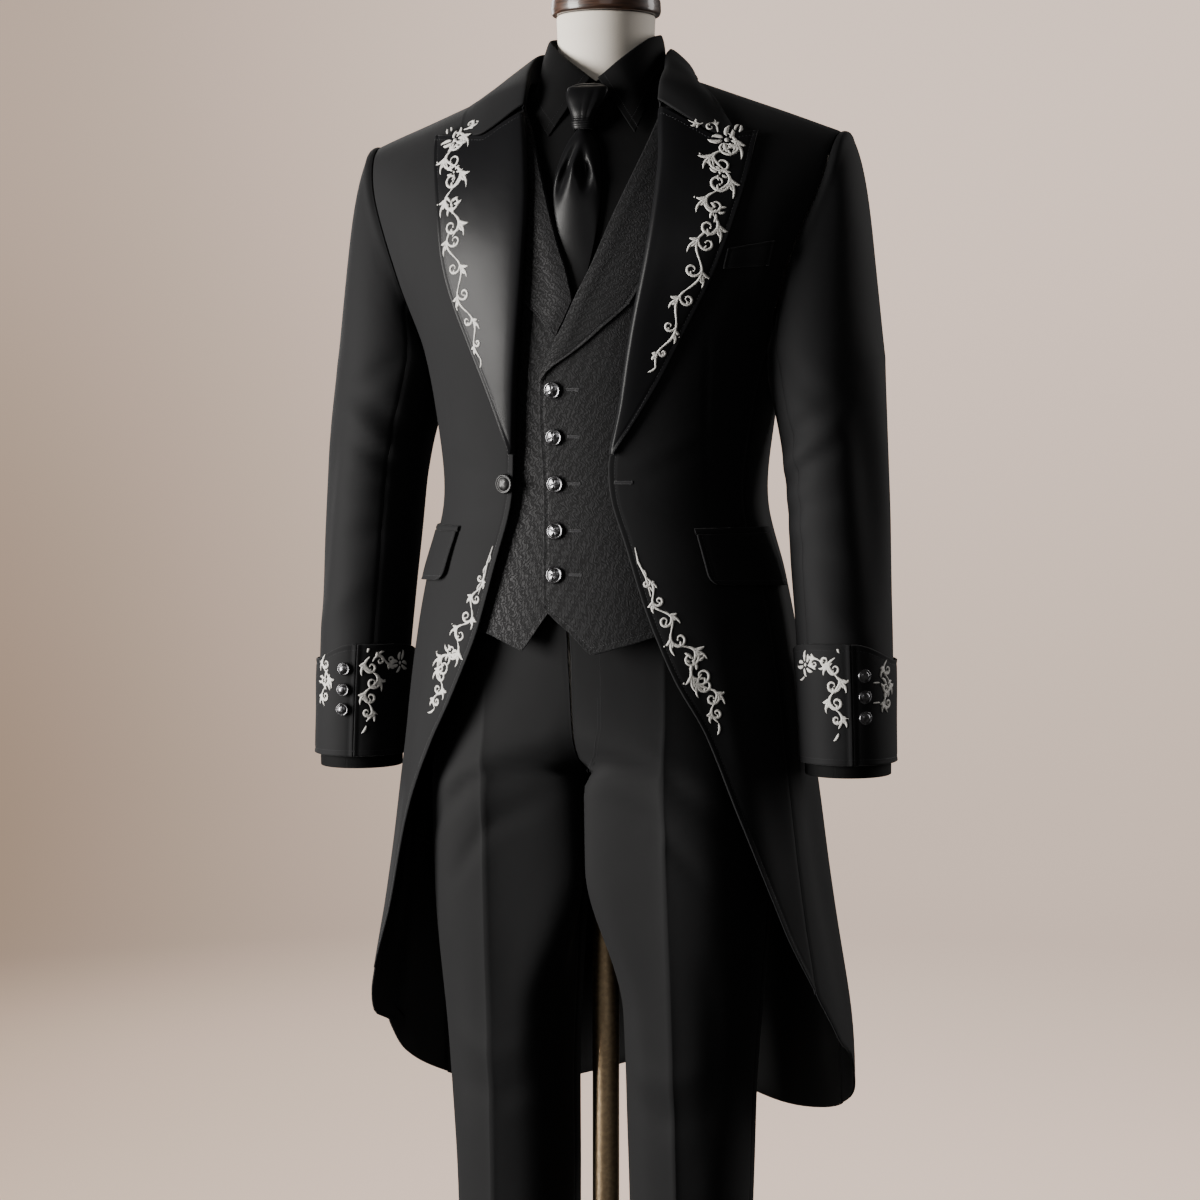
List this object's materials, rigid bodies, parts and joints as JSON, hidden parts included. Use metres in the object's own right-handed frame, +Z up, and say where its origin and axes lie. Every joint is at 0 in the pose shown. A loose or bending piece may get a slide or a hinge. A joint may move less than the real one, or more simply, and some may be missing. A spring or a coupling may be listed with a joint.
{
  "type": "tailcoat suit on a limbless dress form",
  "caption": "Black cutaway tailcoat suit with embroidered satin peak lapels, brocade waistcoat, shirt, cravat and trousers, worn by a limbless dress form on a pole stand.",
  "frame": {"origin": "centre of the round base's underside, on the floor", "axes": "+Z up, the suit faces -Y, +X is the wearer's left"},
  "size_m": [0.606, 0.3863, 1.6763],
  "materials": {
    "coat_cloth": "black wool barathea with a slight nap",
    "satin": "black satin, soft sheen",
    "brocade": "black figured brocade",
    "trouser_cloth": "black wool, pressed creases",
    "shirt_cotton": "black cotton poplin",
    "button_metal": "polished dark silver",
    "button_horn": "polished black horn",
    "form_linen": "cream linen jersey",
    "dark_wood": "dark turned wood, varnished",
    "brass": "brushed old brass",
    "painted_base": "black satin enamel"
  },
  "bodies": {
    "root": {"coat_front_L": "coat_cloth", "coat_front_R": "coat_cloth", "coat_side_L": "coat_cloth", "coat_side_R": "coat_cloth", "coat_back_L": "coat_cloth", "coat_back_R": "coat_cloth", "coat_sleeve_upper_L": "coat_cloth", "coat_sleeve_upper_R": "coat_cloth", "coat_sleeve_under_L": "coat_cloth", "coat_sleeve_under_R": "coat_cloth", "coat_cuff_L": "coat_cloth", "coat_cuff_R": "coat_cloth", "coat_flap_L": "coat_cloth", "coat_flap_R": "coat_cloth", "coat_pocket_jet_L": "coat_cloth", "coat_pocket_jet_R": "coat_cloth", "coat_collar": "coat_cloth", "coat_breast_welt": "coat_cloth", "coat_lapel_L": "satin", "coat_lapel_R": "satin", "cravat_knot": "satin", "cravat_blade": "satin", "waistcoat_back": "satin", "waistcoat_front_L": "brocade", "waistcoat_front_R": "brocade", "waistcoat_lapel_L": "brocade", "waistcoat_lapel_R": "brocade", "shirt_front_L": "shirt_cotton", "shirt_front_R": "shirt_cotton", "shirt_back": "shirt_cotton", "shirt_sleeve_L": "shirt_cotton", "shirt_sleeve_R": "shirt_cotton", "shirt_collar_L": "shirt_cotton", "shirt_collar_R": "shirt_cotton", "shirt_collar_stand": "shirt_cotton", "trouser_front_L": "trouser_cloth", "trouser_front_R": "trouser_cloth", "trouser_back_L": "trouser_cloth", "trouser_back_R": "trouser_cloth", "trouser_waistband_L": "trouser_cloth", "trouser_waistband_R": "trouser_cloth", "waistcoat_button_1": "button_metal", "waistcoat_button_2": "button_metal", "waistcoat_button_3": "button_metal", "waistcoat_button_4": "button_metal", "waistcoat_button_5": "button_metal", "coat_cuff_button_L_1": "button_metal", "coat_cuff_button_L_2": "button_metal", "coat_cuff_button_L_3": "button_metal", "coat_cuff_button_R_1": "button_metal", "coat_cuff_button_R_2": "button_metal", "coat_cuff_button_R_3": "button_metal", "coat_button": "button_horn", "form_torso": "form_linen", "form_neck_cap": "dark_wood", "form_pole": "brass", "form_base": "painted_base"}
  },
  "joints": []
}
